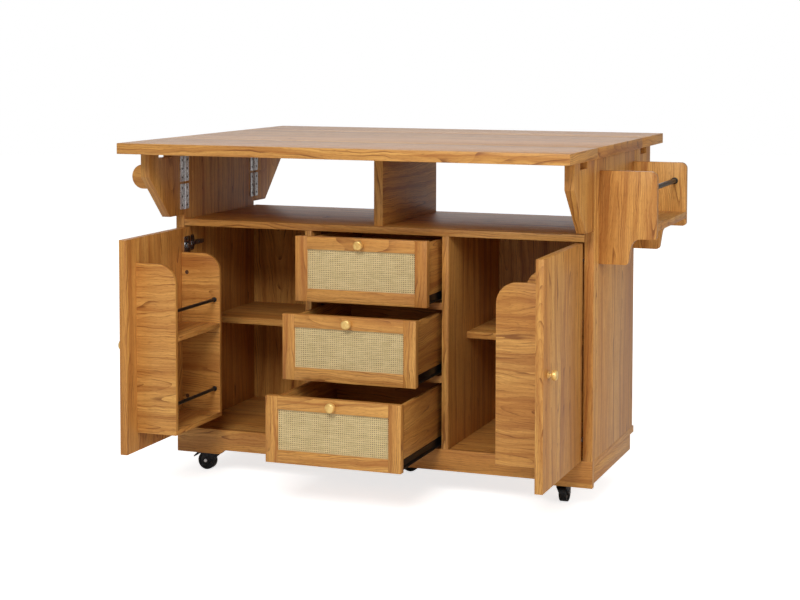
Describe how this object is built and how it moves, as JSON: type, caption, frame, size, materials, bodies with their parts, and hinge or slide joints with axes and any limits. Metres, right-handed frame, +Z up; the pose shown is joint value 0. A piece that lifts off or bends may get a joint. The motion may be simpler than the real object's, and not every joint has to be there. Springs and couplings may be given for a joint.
{
  "type": "kitchen island",
  "caption": "Rolling kitchen island with a drop-leaf top on folding brackets, an open shelf, cane-fronted drawers, cupboards with door racks, a spice rack and a towel bar.",
  "frame": {"origin": "on the floor, under the middle of the whole island's bounding box as it stands with its doors open and leaves up", "axes": "+Z up; -Y out of the front, where the drawers and doors open; +X towards the spice rack's side"},
  "size_m": [1.46, 1.094, 0.915],
  "materials": {
    "oak_board": "satin",
    "oak_drawer": "satin",
    "cane": "matte",
    "hinge_steel": "brushed",
    "zinc_steel": "satin",
    "black_metal": "satin",
    "knob_gold": "satin",
    "wheel_black": "satin"
  },
  "bodies": {
    "cabinet": {"side_panels": "oak_board", "dividers": "oak_board", "main_shelf": "oak_board", "bottom_board": "oak_board", "back_panel": "oak_board", "inner_shelves": "oak_board", "tabletop": "oak_board", "drop_leaves": "oak_board", "hinge_plates": "hinge_steel", "front_apron": "oak_board", "base_frame": "oak_board", "spice_rack": "oak_board", "towel_ends": "oak_board", "rack_rods": "black_metal", "door_hinge_arms": "zinc_steel", "runner_channels": "black_metal", "caster_plates": "zinc_steel"},
    "bracket_front_left": {"bracket_front_left": "oak_board", "bracket_hinges_front_left": "hinge_steel"},
    "bracket_front_right": {"bracket_front_right": "oak_board", "bracket_hinges_front_right": "hinge_steel"},
    "bracket_back_left": {"bracket_back_left": "oak_board", "bracket_hinges_back_left": "hinge_steel"},
    "bracket_back_right": {"bracket_back_right": "oak_board", "bracket_hinges_back_right": "hinge_steel"},
    "door_left": {"door_left": "oak_board", "door_rack_left": "oak_board", "door_fittings_left": "black_metal", "door_knob_left": "knob_gold"},
    "door_right": {"door_right": "oak_board", "door_rack_right": "oak_board", "door_fittings_right": "black_metal", "door_knob_right": "knob_gold"},
    "drawer_bottom": {"drawer_front_bottom": "oak_board", "cane_panel_bottom": "cane", "drawer_box_bottom": "oak_drawer", "drawer_knob_bottom": "knob_gold", "drawer_slides_bottom": "black_metal"},
    "drawer_middle": {"drawer_front_middle": "oak_board", "cane_panel_middle": "cane", "drawer_box_middle": "oak_drawer", "drawer_knob_middle": "knob_gold", "drawer_slides_middle": "black_metal"},
    "drawer_top": {"drawer_front_top": "oak_board", "cane_panel_top": "cane", "drawer_box_top": "oak_drawer", "drawer_knob_top": "knob_gold", "drawer_slides_top": "black_metal"},
    "fork_front_left": {"caster_fork_front_left": "zinc_steel"},
    "wheel_front_left": {"caster_wheel_front_left": "wheel_black"},
    "pedal_front_left": {"brake_pedal_front_left": "wheel_black"},
    "fork_front_right": {"caster_fork_front_right": "zinc_steel"},
    "wheel_front_right": {"caster_wheel_front_right": "wheel_black"},
    "pedal_front_right": {"brake_pedal_front_right": "wheel_black"},
    "fork_back_left": {"caster_fork_back_left": "zinc_steel"},
    "wheel_back_left": {"caster_wheel_back_left": "wheel_black"},
    "fork_back_right": {"caster_fork_back_right": "zinc_steel"},
    "wheel_back_right": {"caster_wheel_back_right": "wheel_black"},
    "fork_centre": {"caster_fork_centre": "zinc_steel"},
    "wheel_centre": {"caster_wheel_centre": "wheel_black"}
  },
  "joints": [
    {"name": "bracket_front_left_fold", "type": "hinge", "parent": "cabinet", "child": "bracket_front_left", "pos_m": [-0.556, -0.187, 0.796], "axis": [0, 0, 1], "range_deg": [0, 178]},
    {"name": "bracket_front_right_fold", "type": "hinge", "parent": "cabinet", "child": "bracket_front_right", "pos_m": [0.556, -0.187, 0.796], "axis": [0, 0, -1], "range_deg": [0, 178]},
    {"name": "bracket_back_left_fold", "type": "hinge", "parent": "cabinet", "child": "bracket_back_left", "pos_m": [-0.556, 0.253, 0.796], "axis": [0, 0, -1], "range_deg": [0, 178]},
    {"name": "bracket_back_right_fold", "type": "hinge", "parent": "cabinet", "child": "bracket_back_right", "pos_m": [0.556, 0.253, 0.796], "axis": [0, 0, 1], "range_deg": [0, 178]},
    {"name": "door_left_swing", "type": "hinge", "parent": "cabinet", "child": "door_left", "pos_m": [-0.56, -0.19, 0.399], "axis": [0, 0, 1], "range_deg": [-15, 90]},
    {"name": "door_right_swing", "type": "hinge", "parent": "cabinet", "child": "door_right", "pos_m": [0.56, -0.19, 0.399], "axis": [0, 0, -1], "range_deg": [-15, 90]},
    {"name": "drawer_bottom_slide", "type": "slide", "parent": "cabinet", "child": "drawer_bottom", "axis": [0, -1, 0], "range_m": [-0.295, 0.015]},
    {"name": "drawer_middle_slide", "type": "slide", "parent": "cabinet", "child": "drawer_middle", "axis": [0, -1, 0], "range_m": [-0.191, 0.119]},
    {"name": "drawer_top_slide", "type": "slide", "parent": "cabinet", "child": "drawer_top", "axis": [0, -1, 0], "range_m": [-0.11, 0.2]},
    {"name": "caster_front_left_swivel", "type": "hinge", "parent": "cabinet", "child": "fork_front_left", "pos_m": [-0.496, -0.142, 0.068], "axis": [0, 0, 1], "continuous": true},
    {"name": "wheel_front_left_roll", "type": "hinge", "parent": "fork_front_left", "child": "wheel_front_left", "pos_m": [-0.514, -0.142, 0.025], "axis": [0, -1, 0], "continuous": true},
    {"name": "pedal_front_left_press", "type": "hinge", "parent": "fork_front_left", "child": "pedal_front_left", "pos_m": [-0.534, -0.142, 0.048], "axis": [0, -1, 0], "range_deg": [0, 18]},
    {"name": "caster_front_right_swivel", "type": "hinge", "parent": "cabinet", "child": "fork_front_right", "pos_m": [0.496, -0.142, 0.068], "axis": [0, 0, 1], "continuous": true},
    {"name": "wheel_front_right_roll", "type": "hinge", "parent": "fork_front_right", "child": "wheel_front_right", "pos_m": [0.496, -0.124, 0.025], "axis": [-1, 0, 0], "continuous": true},
    {"name": "pedal_front_right_press", "type": "hinge", "parent": "fork_front_right", "child": "pedal_front_right", "pos_m": [0.496, -0.104, 0.048], "axis": [-1, 0, 0], "range_deg": [0, 18]},
    {"name": "caster_back_left_swivel", "type": "hinge", "parent": "cabinet", "child": "fork_back_left", "pos_m": [-0.496, 0.168, 0.068], "axis": [0, 0, 1], "continuous": true},
    {"name": "wheel_back_left_roll", "type": "hinge", "parent": "fork_back_left", "child": "wheel_back_left", "pos_m": [-0.496, 0.15, 0.025], "axis": [1, 0, 0], "continuous": true},
    {"name": "caster_back_right_swivel", "type": "hinge", "parent": "cabinet", "child": "fork_back_right", "pos_m": [0.496, 0.168, 0.068], "axis": [0, 0, 1], "continuous": true},
    {"name": "wheel_back_right_roll", "type": "hinge", "parent": "fork_back_right", "child": "wheel_back_right", "pos_m": [0.496, 0.15, 0.025], "axis": [1, 0, 0], "continuous": true},
    {"name": "caster_centre_swivel", "type": "hinge", "parent": "cabinet", "child": "fork_centre", "pos_m": [0, 0.033, 0.068], "axis": [0, 0, 1], "continuous": true},
    {"name": "wheel_centre_roll", "type": "hinge", "parent": "fork_centre", "child": "wheel_centre", "pos_m": [0.018, 0.033, 0.025], "axis": [0, 1, 0], "continuous": true}
  ]
}
